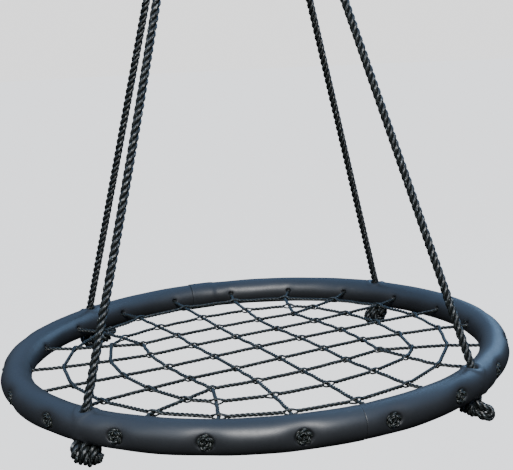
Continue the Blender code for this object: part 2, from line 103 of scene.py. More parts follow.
BIGHT_TURN = math.radians(102)        # half of the bight's bend round its thimble
BIGHT_THROAT = ((0.0158, -0.0200), (0.0105, -0.0340))   # across and along, down to the ferrule
ROSE_RADIUS = 0.0086          # a rose knot's five-lobed torus knot
ROSE_LOBE = 0.0026
ROSE_DEPTH = 0.0036
ROSE_SINK = 0.0080            # from the cover's outside in to the middle of a rose knot
WAVER = 0.0007                # how far a cord strays from straight between crossings
JITTER = 0.0022               # how unevenly the net's crossings lie
HOOP_GAP = 0.0065             # from the hoop's inner face in to a lacing cord's end, inside the foam

FOAM_SWELL = 0.0007           # of the foam's skin past its plain section
THINNEST_FOAM = 0.0004
SEAT_RADIUS = 0.0152          # the pit that a rose knot sits in
SEAT_DEPTH = 0.0050
SEAT_WALL = 0.0040
DIMPLE_DEPTH = 0.0062         # the foam's sinking round that pit, and its reach along and round the hoop
DIMPLE_REACH = (0.025, 0.020)
HOLE_RISE = 0.0035            # how far the inner lacing holes lie above mid-height
LACING_DRAW = (0.0016, 0.011)         # the foam's sinking round a lacing hole: depth, reach
LACING_PIT = (0.0070, 0.0049, 0.0024)         # depth, radius, wall
ROPE_PIT = (0.0100, 0.0102, 0.0030)
ROPE_LIP = (0.0019, 0.0165, 0.0045)   # the foam's bulge round a rope hole: height, radius, width
SEAM_EDGE = (0.0007, 0.0011)          # the rounding at a seam: depth, width
SLEEVE_SWELL = (0.0014, 0.062, 0.010)         # height, length and slope at the right sleeve's end
SLEEVE_SINK = (0.0006, 0.05)          # depth and length at its start
COVER_FINE = 0.0015           # between the skin's points near the holes
COVER_COARSE = (0.0045, 0.0030)       # and away from them, along the hoop and round its section
COVER_NEAR = (0.020, 0.013)

BARREL_PITCH = 0.0155
BARREL_SLANT = 0.0070
LOOPED_KNOT = (1, -1)         # the knot that has a loop of its rope left sticking out, and how far
LOOP_LENGTH = 0.040
FRAYS = ((0, 9, 0.013), (9, 5, 0.008))       # hole, fibres, length
FRAY_RADIUS = 0.0004
STOPPERS = {                  # by side and end: pulled aside, lying along, turns, orbit, cut end's reach
    (-1, -1): ((0.006, -0.010, 0.003), (0.93, -0.06, -0.36), 2.7, 0.0125, 0.004),
    (1, -1): ((-0.022, 0.000, 0.006), (0.83, -0.16, -0.46), 2.0, 0.0105, -0.006),
    (-1, 1): ((0.024, -0.008, 0.009), (0.93, 0.05, 0.36), 3.9, 0.0150, -0.006),
    (1, 1): ((-0.014, -0.016, -0.006), (-0.80, 0.45, -0.25), 2.7, 0.0130, 0.004),
}

low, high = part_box("hoop_tube")
HOOP_HEIGHT = (low.z + high.z) / 2
FLOOR_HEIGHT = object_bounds()[0][2] - 0.42
UP = Vector((0, 0, 1))


# ---------------------------------------------------------------- camera
def make_camera():
    """A 73 mm lens a little over two metres off, above the hoop's plane."""
    data = bpy.data.cameras.new("camera")
    data.lens = 73.12
    data.sensor_width = 36
    data.shift_x = -0.1195
    camera = bpy.data.objects.new("camera", data)
    camera.location = (-0.2636, -2.0103, HOOP_HEIGHT + 0.6251)
    camera.rotation_euler = Euler([math.radians(a) for a in (78.809, 2.505, -11.670)])
    bpy.context.scene.collection.objects.link(camera)
    bpy.context.scene.camera = camera


# ---------------------------------------------------------------- lines and tubes
def distances(line, closed=False):
    """Distance along a line of points to each one, and round to the first again when it is closed."""
    if closed:
        line = np.vstack([line, line[:1]])
    return np.concatenate([[0], np.cumsum(np.linalg.norm(np.diff(line, axis=0), axis=1))])


def resample(points, step, closed=False):
    """The same line with points at an even step."""
    points = np.array([tuple(p) for p in points], float)
    along = distances(points, closed)
    if closed:
        points = np.vstack([points, points[:1]])
    count = max(4, round(along[-1] / step))
    spots = np.linspace(0, along[-1], count, endpoint=False) if closed else np.linspace(0, along[-1], count)
    return np.stack([np.interp(spots, along, points[:, i]) for i in range(3)], axis=1)


def smooth_route(knots, per_span, closed=False):
    """Points on a Catmull-Rom curve through the knots, per_span of them in each span."""
    knots = [Vector(k) for k in knots]
    if closed:
        padded = [knots[-1], *knots, knots[0], knots[1]]
    else:
        padded = [2 * knots[0] - knots[1], *knots, 2 * knots[-1] - knots[-2]]
    route = []
    for before, start, end, after in zip(padded, padded[1:], padded[2:], padded[3:]):
        for i in range(per_span):
            t = i / per_span
            route.append(0.5 * (2 * start + (end - before) * t
                                + (2 * before - 5 * start + 4 * end - after) * t ** 2
                                + (3 * start - before - 3 * end + after) * t ** 3))
    if not closed:
        route.append(knots[-1])
    return route


def kinked(knots, closed=False):
    """Nearly straight runs from knot to knot, with a tight bend at each and a slight waver between."""
    knots = [Vector(k) for k in knots]
    line = []
    for i, (here, there) in enumerate(zip(knots, knots[1:] + knots[:closed])):
        sideways = (there - here).cross(UP).normalized()
        line.append(here)
        for j, share in enumerate((0.16, 0.38, 0.62, 0.84)):
            waver = WAVER * math.sin(7.1 * i + 4.7 * j * j + 131 * here.x + 97 * here.y)
            line.append(here.lerp(there, share) + sideways * waver + UP * waver * 0.7)
    if not closed:
        line.append(knots[-1])
    return smooth_route(line, 5, closed)


def unit(rows):
    return rows / np.linalg.norm(rows, axis=1, keepdims=True)


def slopes(line, closed):
    """Unit tangents of a line of points."""
    if closed:
        return unit(np.roll(line, -1, axis=0) - np.roll(line, 1, axis=0))
    return unit(np.gradient(line, axis=0))


def eased(share):
    """From 0 to 1 with level ends."""
    share = np.clip(share, 0, 1)
    return share * share * (3 - 2 * share)


def tube(line, outward, radius, sides, closed=False, ridges=0, ridge_depth=0.0, ridge_lay=1.0):
    """A strand's skin along a line, as (points, faces, (along, around) for each face corner).

    outward is the direction that the skin's first side faces. ridges are yarns that wind round the
    strand once in ridge_lay."""
    tangent = slopes(line, closed)
    first = unit(outward - tangent * np.sum(outward * tangent, axis=1, keepdims=True))
    second = np.cross(tangent, first)
    along = distances(line, closed)
    turn = np.arange(sides) * math.tau / sides
    swell = 1 + ridge_depth * np.cos(ridges * (turn[None] - math.tau * along[:len(line), None] / ridge_lay))
    reach = radius[:, None] * swell
    skin = (line[:, None] + reach[..., None] * (np.cos(turn)[None, :, None] * first[:, None]
                                                + np.sin(turn)[None, :, None] * second[:, None]))
    points = skin.reshape(-1, 3)
    rings = len(line)
    faces, corners = [], []
    for i in range(rings if closed else rings - 1):
        here, there = i * sides, (i + 1) % rings * sides
        for j in range(sides):
            k = (j + 1) % sides
            faces.append((here + j, here + k, there + k, there + j))
            corners += [(along[i], j / sides), (along[i], (j + 1) / sides),
                        (along[i + 1], (j + 1) / sides), (along[i + 1], j / sides)]
    if not closed:
        for ring, inward in ((0, 1), (rings - 1, -1)):
            middle = len(points)
            dome = line[ring] - tangent[ring] * inward * radius[ring] * DOME
            points = np.vstack([points, dome])
            for j in range(sides):
                pair = (ring * sides + j, ring * sides + (j + 1) % sides)[::-inward]
                faces.append((*pair, middle))
                corners += [(along[ring], j / sides), (along[ring], (j + 1) / sides), (along[ring], 0.5)]
    return points, faces, corners


def joined(parts):
    """Several (points, faces, corners) as one such piece."""
    points, faces, corners, count = [], [], [], 0
    for some_points, some_faces, some_corners in parts:
        points.append(some_points)
        faces += [tuple(count + v for v in face) for face in some_faces]
        corners += some_corners
        count += len(some_points)
    return np.vstack(points), faces, corners


def parting(angles, strand):
    """Where three strands lie as they part round a cord: two side by side over it and one under."""
    lowest, *upper = sorted(range(3), key=lambda k: math.sin(angles[k]))
    upper.sort(key=lambda k: math.cos(angles[k]))
    lift = CORD_RADIUS + 0.55 * strand
    places = np.zeros((3, 2))
    places[lowest] = (0, -lift)
    places[upper[0]] = (-0.8 * strand, lift)
    places[upper[1]] = (0.8 * strand, lift)
    return places


def twisted(route, radius, lay, up, step, sides=8, closed=False, openings=(), taper=0.0, start=0.0,
            ridges=0, ridge_depth=0.0):
    """A three-strand rope along a route. At each opening its strands part round another cord.

    openings are (point on the route, half length). up is across the route everywhere. taper narrows
    the ends."""
    line = resample(route, step, closed)
    tangent = slopes(line, closed)
    side = unit(np.cross(tangent, np.array(up, float)[None]))
    rise = np.cross(side, tangent)
    along = distances(line, closed)
    total = along[-1]
    along = along[:len(line)]

    parted, nearest = np.zeros(len(line)), np.zeros(len(line), int)
    for spot, half in openings:
        i = int(np.argmin(np.linalg.norm(line - np.array(spot)[None], axis=1)))
        away = np.abs(along - along[i])
        if closed:
            away = np.minimum(away, total - away)
        here = 1 - eased((away - 0.6 * CORD_RADIUS) / (half - 0.6 * CORD_RADIUS))
        nearest[here > parted] = i
        parted = np.maximum(parted, here)

    pace = 1 - TIGHTENED * parted
    turns = np.concatenate([[0], np.cumsum((pace * total / len(line))[:-1])])
    whole = turns[-1] + pace[-1] * total / len(line)
    count = max(1, round(whole / lay)) if closed else whole / lay
    phase = start - math.tau * turns * count / whole

    strand = STRAND_SHARE * radius
    orbit = radius - strand
    thirds = np.arange(3) * math.tau / 3
    goals = {i: parting(phase[i] + thirds, strand) for i in set(nearest)}
    goal = np.array([goals[i] for i in nearest])
    ends = np.minimum(along, total - along)
    parts = []
    for k in range(3):
        angle = phase + thirds[k]
        offset = orbit * np.stack([np.cos(angle), np.sin(angle)], axis=1)
        offset = offset * (1 - parted[:, None]) + goal[:, k] * parted[:, None]
        offset = offset * (1 - taper * (1 - eased(ends / (2 * radius))))[:, None]
        away = offset[:, :1] * side + offset[:, 1:] * rise
        parts.append(tube(line + away, unit(away), np.full(len(line), strand), sides, closed,
                          ridges, ridge_depth, -YARN_LAY * lay))
    return joined(parts)


def add(name, part, surface, body, replaced=(), smooth=True):
    """A piece from (points, faces, corners), riding on a body."""
    points, faces, corners = part
    mesh = bpy.data.meshes.new(name)
    mesh.from_pydata([tuple(p) for p in points], [], faces)
    if corners:
        layer = mesh.uv_layers.new(name="strand")
        layer.data.foreach_set("uv", np.array(corners, np.float32).ravel())
    if smooth:
        mesh.shade_smooth()
    mesh.materials.append(surface)
    made = bpy.data.objects.new(name, mesh)
    bpy.context.scene.collection.objects.link(made)
    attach(made, body)
    if replaced:
        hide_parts(*replaced)
    return made


# ---------------------------------------------------------------- materials
def new_surface(name):
    made = bpy.data.materials.new(name)
    made.use_nodes = True
    return made, made.node_tree, made.node_tree.nodes["Principled BSDF"]


def put(tree, kind, values=None, **settings):
    """Add a shader node. values sets or links its inputs, by name or number."""
    made = tree.nodes.new("ShaderNode" + kind)
    for key, value in settings.items():
        setattr(made, key, value)
    for key, value in (values or {}).items():
        if isinstance(value, bpy.types.NodeSocket):
            tree.links.new(value, made.inputs[key])
        else:
            made.inputs[key].default_value = value
    return made


def maths(tree, operation, first, second=0.0, third=0.0):
    values = {0: first, 1: second}
    if operation == "MULTIPLY_ADD":
        values[2] = third
    return put(tree, "Math", values, operation=operation).outputs[0]


def noise(tree, where, scale, detail=3.0, roughness=0.55):
    made = put(tree, "TexNoise", {"Vector": where, "Scale": scale, "Detail": detail, "Roughness": roughness})
    return made.outputs["Fac"]


def ramp(tree, factor, stops):
    """A colour for each share: stops are (share, (red, green, blue) or grey)."""
    made = put(tree, "ValToRGB", {"Fac": factor})
    elements = made.color_ramp.elements
    while len(elements) < len(stops):
        elements.new(0.5)
    for element, (share, colour) in zip(elements, stops):
        element.position = share
        rgb = colour if isinstance(colour, tuple) else (colour,) * 3
        element.color = (*rgb, 1)
    return made.outputs["Color"]


def mixed(tree, factor, first, second):
    made = put(tree, "Mix", {"Factor": factor, 6: first, 7: second}, data_type="RGBA")
    return made.outputs[2]


def foam_surface():
    """Satin charcoal closed-cell foam skin, with fine grain, uneven colour and a few pale scuffs."""
    made, tree, shader = new_surface("foam_skin")
    where = put(tree, "TexCoord").outputs["Object"]
    broad = noise(tree, where, 7.0)
    grain = noise(tree, where, 1100.0, 2.0)
    skin = noise(tree, where, 160.0, 4.0)
    stretched = put(tree, "Mapping", {"Vector": where, "Scale": (14, 22, 90)}).outputs[0]
    streaks = noise(tree, stretched, 2.2, 6.0, 0.7)
    scuffs = ramp(tree, streaks, [(0.66, 0.0), (0.70, 1.0)])
    colour = ramp(tree, broad, [(0.30, (0.0105, 0.0115, 0.0125)), (0.70, (0.0165, 0.0178, 0.0195))])
    colour = mixed(tree, maths(tree, "MULTIPLY", scuffs, 0.22), colour, (0.075, 0.078, 0.082, 1))
    colour = mixed(tree, maths(tree, "MULTIPLY", grain, 0.25), colour, (0.026, 0.028, 0.031, 1))
    tree.links.new(colour, shader.inputs["Base Color"])
    rough = maths(tree, "MULTIPLY_ADD", skin, 0.14, 0.38)
    rough = maths(tree, "MULTIPLY_ADD", scuffs, 0.10, rough)
    tree.links.new(rough, shader.inputs["Roughness"])
    height = maths(tree, "MULTIPLY_ADD", skin, 0.7, grain)
    bump = put(tree, "Bump", {"Strength": 0.30, "Distance": 0.0002, "Height": height})
    tree.links.new(bump.outputs[0], shader.inputs["Normal"])
    shader.inputs["Specular IOR Level"].default_value = 0.55
    return made


def rope_surface(name, dark, pale, glint_colour, yarns, lay, shine):
    """Black twisted rope: yarns wind along each strand, with fine fibres. Crowns of yarns and strands are
    painted pale as a painted highlight, the grooves between them dark as painted shade, and pale flecks on
    the crowns are painted glints.
    """
    made, tree, shader = new_surface(name)
    where = put(tree, "UVMap", uv_map="strand").outputs[0]
    parts = put(tree, "SeparateXYZ", {0: where})
    along, around = parts.outputs[0], parts.outputs[1]
    wound = maths(tree, "MULTIPLY_ADD", along, yarns / lay, maths(tree, "MULTIPLY", around, yarns))
    yarn = maths(tree, "SINE", maths(tree, "MULTIPLY", wound, math.tau))
    yarn = maths(tree, "MULTIPLY_ADD", yarn, 0.5, 0.5)
    space = put(tree, "TexCoord").outputs["Object"]
    blotch = noise(tree, space, 90.0, 3.0)
    fibre_at = put(tree, "CombineXYZ", {0: maths(tree, "MULTIPLY", along, 260.0),
                                        1: maths(tree, "MULTIPLY", wound, 3.0)}).outputs[0]
    fibre = noise(tree, fibre_at, 1.0, 4.0, 0.7)
    # Pale flecks on the yarns at the strands' crowns, standing in for glints on glossy fibres: painted
    # glints.
    glint_at = put(tree, "CombineXYZ", {0: maths(tree, "MULTIPLY", along, 120.0),
                                        1: maths(tree, "MULTIPLY", wound, 1.0)}).outputs[0]
    painted_glints = ramp(tree, noise(tree, glint_at, 1.3, 2.0), [(0.60, 0.0), (0.68, 1.0)])
    painted_glints = maths(tree, "MULTIPLY", painted_glints, yarn)
    # Lighter on the strands' crowns and darker in the grooves between strands: painted highlight and painted
    # shade.
    painted_crown_light = maths(tree, "COSINE", maths(tree, "MULTIPLY", around, math.tau))
    painted_crown_light = ramp(tree, maths(tree, "MULTIPLY_ADD", painted_crown_light, 0.5, 0.5), [(0.50, 0.12), (0.92, 1.0)])
    painted_glints = maths(tree, "MULTIPLY", painted_glints, painted_crown_light)
    # Pale on the yarn ridges of the crowns, dark between yarns and in the grooves: painted highlight and
    # painted shade.
    colour = mixed(tree, maths(tree, "MULTIPLY", yarn, painted_crown_light), (*dark, 1), (*pale, 1))
    colour = mixed(tree, maths(tree, "MULTIPLY", fibre, 0.5), colour, (*dark, 1))
    # The glint colour mixed in where the flecks fall, stronger in random blotches: painted glints.
    colour = mixed(tree, maths(tree, "MULTIPLY", painted_glints, ramp(tree, blotch, [(0.35, 0.25), (0.65, 0.9)])),
                   colour, (*glint_colour, 1))
    tree.links.new(colour, shader.inputs["Base Color"])
    rough = maths(tree, "MULTIPLY_ADD", fibre, 0.25, shine)
    tree.links.new(rough, shader.inputs["Roughness"])
    height = maths(tree, "MULTIPLY_ADD", fibre, 0.35, yarn)
    bump = put(tree, "Bump", {"Strength": 0.75, "Distance": 0.0004, "Height": height})
    tree.links.new(bump.outputs[0], shader.inputs["Normal"])
    shader.inputs["Specular IOR Level"].default_value = 0.42
    return made


def metal_surface(name, dark, pale, spangle, low_rough, high_rough, pits):
    """Plated or cast metal: cells of slightly different grey, dull patches, fine pits and wear."""
    made, tree, shader = new_surface(name)
    where = put(tree, "TexCoord").outputs["Object"]
    cells = put(tree, "TexVoronoi", {"Vector": where, "Scale": spangle}).outputs["Color"]
    grey = put(tree, "RGBToBW", {0: cells}).outputs[0]
    dull = noise(tree, where, 55.0, 5.0)
    fine = noise(tree, where, 1600.0, 3.0)
    colour = ramp(tree, maths(tree, "MULTIPLY_ADD", grey, 0.5, maths(tree, "MULTIPLY", dull, 0.5)),
                  [(0.25, dark), (0.75, pale)])
    tree.links.new(colour, shader.inputs["Base Color"])
    rough = maths(tree, "MULTIPLY_ADD", dull, high_rough - low_rough, low_rough)
    tree.links.new(rough, shader.inputs["Roughness"])
    bump = put(tree, "Bump", {"Strength": pits, "Distance": 0.0002,
                              "Height": maths(tree, "MULTIPLY_ADD", dull, 0.6, fine)})
    tree.links.new(bump.outputs[0], shader.inputs["Normal"])
    shader.inputs["Metallic"].default_value = 1.0
    return made


# ---------------------------------------------------------------- hanging ropes
def hole_line(side, end):
    """A rope hole at the hoop's top and at mid-height: side -1 left, 1 right; end -1 front, 1 back."""
    corner = Vector((side, end, 0)) * math.sqrt(0.5)
    at_top, at_middle = ROPE_HOLE_OUTSET
    return (corner * (HOOP_RADIUS + at_top) + UP * (HOOP_HEIGHT + COVER_RADIUS),
            corner * (HOOP_RADIUS + at_middle) + UP * HOOP_HEIGHT)


def thimble_place(side):
    """A thimble's centre, and the direction up its rope."""
    lowest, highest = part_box("thimble_left" if side < 0 else "thimble_right")
    centre = (lowest + highest) / 2
    landing = Vector((side * HOOP_RADIUS * math.sqrt(0.5), 0, HOOP_HEIGHT))
    return centre, (centre - landing).normalized()


def leg_start(side, end):
    """Where a leg leaves its ferrule, and where it turns straight for the hoop."""
    centre, upward = thimble_place(side)
    below, aside = LEG_SPREAD
    mouth = FERRULE_TOP - FERRULE_LENGTH
    leaving = centre + upward * mouth + Vector((0, end * LEG_SPACING, 0))
    turning = centre + upward * (mouth - below) + Vector((0, end * aside, 0))
    return leaving, turning


def build_rope(side, side_name, surface):
    """One rope: its bight over the thimble, and its two legs, each a taut cord to the hoop."""
    centre, upward = thimble_place(side)

    def spot(across, along):
        return centre + upward * along + Vector((0, across, 0))

    for end, end_name in ((-1, "front"), (1, "back")):
        leaving, turning = leg_start(side, end)
        entry, crossing = hole_line(side, end)
        last = crossing + (crossing - entry).normalized() * (COVER_RADIUS + LEG_PAST)
        bow = Vector((1, 0, 0)) * LEG_BOW * (side < 0 and end < 0)
        run = [turning.lerp(entry, share) + bow * math.sin(math.pi * share) for share in LEG_SHARES]
        route = smooth_route([leaving, turning, *run, entry, crossing, last], 12)
        part = twisted(route, ROPE_RADIUS, ROPE_LAY, (0, 1, 0), ROPE_STEP, start=1.3 * end + side,
                       **ROPE_SKIN)
        leg = add(f"rope_leg_{end_name}_{side_name}", part, surface, "seat",
                  [f"hanging_rope_{side_name}"])

    angles = [BIGHT_TURN * i / 8 for i in range(9)]
    half = [spot(BIGHT_RADIUS * math.sin(a), BIGHT_RADIUS * math.cos(a)) for a in angles]
    mouth = FERRULE_TOP - FERRULE_LENGTH
    throat = [spot(across, along) for across, along in BIGHT_THROAT]
    half += smooth_route([half[-1], *throat, spot(LEG_SPACING, FERRULE_TOP),
                          spot(LEG_SPACING, mouth + 0.002)], 6)[1:]
    mirrored = [Vector((p.x, -p.y, p.z)) for p in half[:0:-1]]
    across = Vector((0, 1, 0)).cross(upward)
    part = twisted(mirrored + half, ROPE_RADIUS, ROPE_LAY, across, ROPE_STEP, **ROPE_SKIN)
    add(f"rope_bight_{side_name}", part, surface, "seat", [f"hanging_rope_{side_name}"])


# ---------------------------------------------------------------- knots
def torus_knot(lobes, reach, lobe, depth):
    """The centre line of a cord wound twice round, over and under itself, lying in its own XY plane."""
    t = np.arange(240) * 2 * math.tau / 240
    out = reach + lobe * np.cos(lobes * t / 2)
    return np.stack([out * np.cos(t), out * np.sin(t), depth * np.sin(lobes * t / 2)], axis=1)


def barrel(turns, orbit, pitch, slant):
    """The centre line of a rope wound round its own X axis, its turns askew and its ends drawn in."""
    share = np.linspace(0, 1, 160)
    angle = math.tau * turns * share
    drawn = orbit * (0.42 + 0.58 * eased(share / 0.14) * eased((1 - share) / 0.14))
    return np.stack([(share - 0.5) * turns * pitch + slant * np.cos(angle + 0.6),
                     drawn * np.cos(angle), drawn * np.sin(angle)], axis=1)


def loop(length, half):
    """The centre line of a rope doubled back on itself along its own X axis, its two runs 2 * half apart."""
    bend = np.linspace(-math.pi / 2, math.pi / 2, 16)
    round_end = np.stack([length + half * np.cos(bend), half * np.sin(bend), 0 * bend], axis=1)
    return np.vstack([[0, -half, 0], round_end, [0, half, 0]])


def placed(line, centre, across, second, facing):
    """A line moved from its own axes to the ones given."""
    axes = np.array([tuple(across), tuple(second), tuple(facing)])
    return np.array(tuple(centre)) + line @ axes


def build_stopper_knots(surface):
    """The rope's end below the hoop on each leg, wound round itself in a barrel."""
    for (side, end), (pull, direction, turns, orbit, reach) in STOPPERS.items():
        side_name, end_name = ("left" if side < 0 else "right"), ("front" if end < 0 else "back")
        entry, crossing = hole_line(side, end)
        down = (crossing - entry).normalized()
        long_way = Vector(direction).normalized()
        second = UP.cross(long_way).normalized()
        facing = long_way.cross(second)
        centre = crossing + down * (COVER_RADIUS + orbit + 0.55 * ROPE_RADIUS) + Vector(pull)
        line = placed(barrel(turns, orbit, BARREL_PITCH, BARREL_SLANT), centre, long_way, second, facing)
        parts = [twisted(line, ROPE_RADIUS, ROPE_LAY, long_way, ROPE_STEP, taper=0.25, **ROPE_SKIN)]
        half = turns * BARREL_PITCH / 2
        core = [centre - long_way * half, centre, centre + long_way * half,
                centre + long_way * (half + reach) - UP * 0.001]
        parts.append(twisted(smooth_route(core, 8), ROPE_RADIUS * 0.9, ROPE_LAY, facing, ROPE_STEP,
                             **ROPE_SKIN))
        if (side, end) == LOOPED_KNOT:
            line = placed(loop(LOOP_LENGTH, 0.92 * ROPE_RADIUS), centre, long_way, facing, -second)
            parts.append(twisted(line, ROPE_RADIUS, ROPE_LAY, second, ROPE_STEP, **ROPE_SKIN))
        name = f"stopper_knot_{end_name}_{side_name}"
        add(f"{name}_rope", joined(parts), surface, "seat", [name])


# ---------------------------------------------------------------- foam cover
def spaced(start, end, centres, near, fine, coarse):
    """Places from start to end, close together near the centres."""
    places = [start]
    while places[-1] < end:
        here = places[-1]
        gap = min([abs(here - c) for c in centres] or [near])
        step = fine + (coarse - fine) * float(eased((gap - near) / near))
        places.append(here + step)
    places = np.array(places)
    return start + (places - start) * (end - start) / (places[-1] - start)


def hollow(distance, radius, wall):
    """1 inside a round pit and 0 outside it, over a wall of this width."""
    return 1 - eased((distance - radius + wall / 2) / wall)


def waviness(angle, around):
    """The slow unevenness of foam that has been pulled round the hoop and laced."""
    return (0.00035 * np.sin(7 * angle + 1.1) * np.cos(around - 0.4)
            + 0.00025 * np.sin(13 * angle + 2 * around)
            + 0.00016 * np.sin(29 * angle - 3 * around + 0.7))


def section(angle, around):
    """At angles round the hoop and around its section: its centre line, and the direction away from it."""
    outward = np.stack([np.cos(angle), np.sin(angle), np.zeros_like(angle)], axis=-1)
    middle = outward * HOOP_RADIUS + np.array([0, 0, HOOP_HEIGHT])
    return middle, np.cos(around)[..., None] * outward + np.sin(around)[..., None] * np.array([0, 0, 1.0])


def cover_points(angle, around, start):
    """The foam's outside at angles round the hoop and around its section."""
    middle, across = section(angle, around)
    plain = middle + COVER_RADIUS * across
    radius = COVER_RADIUS + FOAM_SWELL + waviness(angle, around)

    wrapped = (around + math.pi) % math.tau - math.pi
    for i in range(LACING_COUNT):
        turned = (angle - i * LACING_STEP + math.pi) % math.tau - math.pi
        along = (HOOP_RADIUS + COVER_RADIUS) * turned
        up = COVER_RADIUS * wrapped
        distance = np.hypot(along, up)
        sunk = np.exp(-(along / DIMPLE_REACH[0]) ** 2 - (up / DIMPLE_REACH[1]) ** 2)
        radius = radius - DIMPLE_DEPTH * sunk
        radius = radius - SEAT_DEPTH * hollow(distance, SEAT_RADIUS, SEAT_WALL) * (distance < 2 * SEAT_RADIUS)
        along = (HOOP_RADIUS - COVER_RADIUS) * turned
        up = COVER_RADIUS * (around % math.tau - math.pi) + HOLE_RISE
        distance = np.hypot(along, up)
        radius = radius - LACING_DRAW[0] * np.exp(-(distance / LACING_DRAW[1]) ** 2)
        radius = radius - LACING_PIT[0] * hollow(distance, *LACING_PIT[1:])

    for side in (-1, 1):
        for end in (-1, 1):
            entry, crossing = hole_line(side, end)
            down = np.array(tuple((crossing - entry).normalized()))
            away = plain - np.array(tuple(crossing))
            distance = np.linalg.norm(np.cross(away, down), axis=-1)
            lip_height, lip_radius, lip_width = ROPE_LIP
            radius = radius + lip_height * np.exp(-((distance - lip_radius) / lip_width) ** 2)
            radius = radius - ROPE_PIT[0] * hollow(distance, *ROPE_PIT[1:])

    from_start = HOOP_RADIUS * (angle - start)
    from_end = HOOP_RADIUS * (start + math.pi - angle)
    nearer = np.minimum(from_start, from_end)
    radius = radius - SEAM_EDGE[0] * (1 - eased(nearer / SEAM_EDGE[1]))
    if start > math.pi:
        height, length, slope = SLEEVE_SWELL
        radius = radius + height * eased((length - from_end) / slope)
        radius = radius - SLEEVE_SINK[0] * eased((SLEEVE_SINK[1] - from_start) / SLEEVE_SINK[1])
    radius = np.maximum(radius, COVER_BORE + THINNEST_FOAM)
    return middle + radius[..., None] * across


def build_cover(name, start, surface):
    """Half of the foam: its skin, its two end faces and its bore, as one closed shell."""
    first, last = start + SEAM_GAP / 2, start + math.pi - SEAM_GAP / 2
    holes = [i * LACING_STEP + whole for i in range(LACING_COUNT) for whole in (0, math.tau)]
    ropes = [math.radians(45 + 90 * i) + whole for i in range(4) for whole in (0, math.tau)]
    angles = spaced(first, last, [*holes, *ropes, first, last], COVER_NEAR[0] / HOOP_RADIUS,
                    COVER_FINE / HOOP_RADIUS, COVER_COARSE[0] / HOOP_RADIUS)
    lips = np.array([0.0003, 0.0006, 0.0010]) / HOOP_RADIUS
    angles = np.unique(np.concatenate([angles, first + lips, last - lips]))
    around = spaced(0, math.tau, [0, math.pi / 2, math.pi, 3 * math.pi / 2, math.tau],
                    COVER_NEAR[1] / COVER_RADIUS, COVER_FINE / COVER_RADIUS,
                    COVER_COARSE[1] / COVER_RADIUS)[:-1]
    grid = np.meshgrid(angles, around, indexing="ij")
    skin = cover_points(*grid, start)
    sides = len(around)
    bore_angles = angles[::6] if (len(angles) - 1) % 6 == 0 else np.append(angles[::6], angles[-1])
    middle, across = section(*np.meshgrid(bore_angles, around, indexing="ij"))
    bore = middle + COVER_BORE * across
    points = np.vstack([skin.reshape(-1, 3), bore.reshape(-1, 3)])
    below = len(angles) * sides
    faces = []
    for i in range(len(angles) - 1):
        for j in range(sides):
            k = (j + 1) % sides
            faces.append((i * sides + j, (i + 1) * sides + j, (i + 1) * sides + k, i * sides + k))
    for i in range(len(bore_angles) - 1):
        for j in range(sides):
            k = (j + 1) % sides
            faces.append((below + i * sides + k, below + (i + 1) * sides + k, below + (i + 1) * sides + j,
                          below + i * sides + j))
    outer_last, bore_last = (len(angles) - 1) * sides, below + (len(bore_angles) - 1) * sides
    for j in range(sides):
        k = (j + 1) % sides
        faces.append((j, k, below + k, below + j))
        faces.append((outer_last + k, outer_last + j, bore_last + j, bore_last + k))
    made = add(f"foam_{name}", (points, faces, None), surface, "seat", [f"hoop_{name}"])
    made.data.set_sharp_from_angle(angle=math.radians(60))


# ---------------------------------------------------------------- net
def uneven(first, second):
    """A small fixed offset for a crossing, so that the net isn't perfectly even."""
    along = math.sin(12.7 * first + 4.1 * second + 0.6)
    aside = math.cos(7.9 * first - 11.3 * second)
    return Vector((along, aside, 0)) * JITTER


def grid_point(i, j):
    """Crossing of column i and row j, with the corners drawn in a little."""
    pull = 1 - CORNER_PULL * (i * j) ** 2
    x, y = i * ROW_STEP * pull, j * COLUMN_STEP * pull
    turned = Vector((x * math.cos(NET_TURN) - y * math.sin(NET_TURN),
                     x * math.sin(NET_TURN) + y * math.cos(NET_TURN), HOOP_HEIGHT))
    return turned + uneven(i, j)


def hoop_point(hole, radius):
    angle = hole * LACING_STEP
    return Vector((radius * math.cos(angle), radius * math.sin(angle), HOOP_HEIGHT))


def border_point(hole):
    return hoop_point(hole, BORDER_RADIUS) + uneven(hole, 5) * 0.8


def inner_point(hole, crossing):
    start = grid_point(*crossing)
    return start.lerp(border_point(hole), INNER_SHARE) + uneven(hole, 9) * 0.8


def cord_ends():
    """For each cord end, in order round the hoop: its hole, whether it is a row, its last crossing."""
    ends = []
    for k in range(-GRID_REACH, GRID_REACH + 1):
        ends.append(((k + 1) % LACING_COUNT, True, (GRID_REACH, k)))
        ends.append((6 - k, False, (k, GRID_REACH)))
        ends.append((11 - k, True, (-GRID_REACH, k)))
        ends.append((16 + k, False, (k, -GRID_REACH)))
    return sorted(ends)


